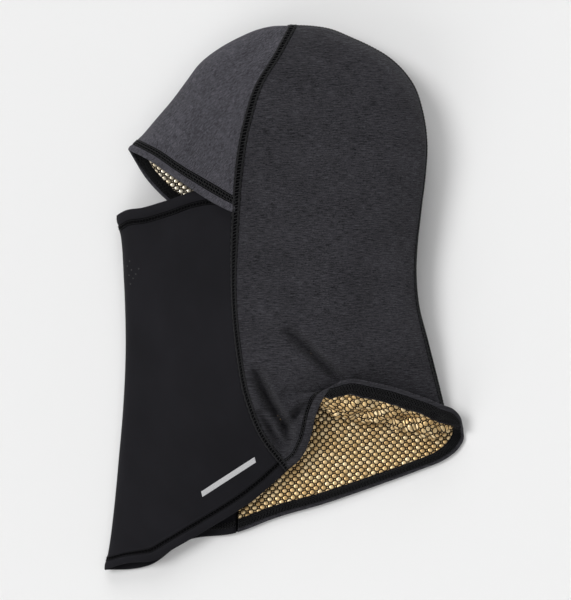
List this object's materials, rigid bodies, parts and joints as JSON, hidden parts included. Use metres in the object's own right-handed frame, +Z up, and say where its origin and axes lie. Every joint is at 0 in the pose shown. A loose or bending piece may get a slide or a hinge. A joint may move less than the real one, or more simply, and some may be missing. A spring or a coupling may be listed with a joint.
{
  "type": "ski balaclava",
  "caption": "Ski balaclava lying on its side: heather knit hood with dotted foil lining, black stretch face mask, flatlock seams and a turned-out cuff.",
  "frame": {"origin": "bottom centre of the bounding box, on the surface that the balaclava lies on", "axes": "+X towards the back of the head, +Y towards the crown, +Z up, out of the wearer's left side"},
  "size_m": [0.2826, 0.4264, 0.0551],
  "materials": {
    "heather_knit": "brushed heather charcoal knit, matt",
    "stretch_knit": "smooth black stretch knit, matt",
    "foil_lining": "pale gold foil dots printed on a black knit",
    "black_thread": "black overlock and coverstitch thread",
    "label_satin": "woven satin ribbon, blank",
    "transfer_print": "thin heat-pressed print, pale grey"
  },
  "bodies": {
    "root": {"left_side_panel": "heather_knit", "left_side_lining": "foil_lining", "left_neck_hem_stitch": "black_thread", "left_neck_hem_cover": "black_thread", "care_label": "label_satin", "right_side_panel": "heather_knit", "right_side_lining": "foil_lining", "right_neck_hem_stitch": "black_thread", "right_neck_hem_cover": "black_thread", "brow_panel": "heather_knit", "brow_lining": "foil_lining", "brow_hem_stitch": "black_thread", "brow_hem_cover": "black_thread", "mask_panel": "stretch_knit", "mask_neck_hem_stitch": "black_thread", "mask_neck_hem_cover": "black_thread", "mask_top_hem_stitch": "black_thread", "mask_top_hem_cover": "black_thread", "transfer_mark": "transfer_print", "face_seam": "black_thread", "back_seam": "black_thread"}
  },
  "joints": []
}
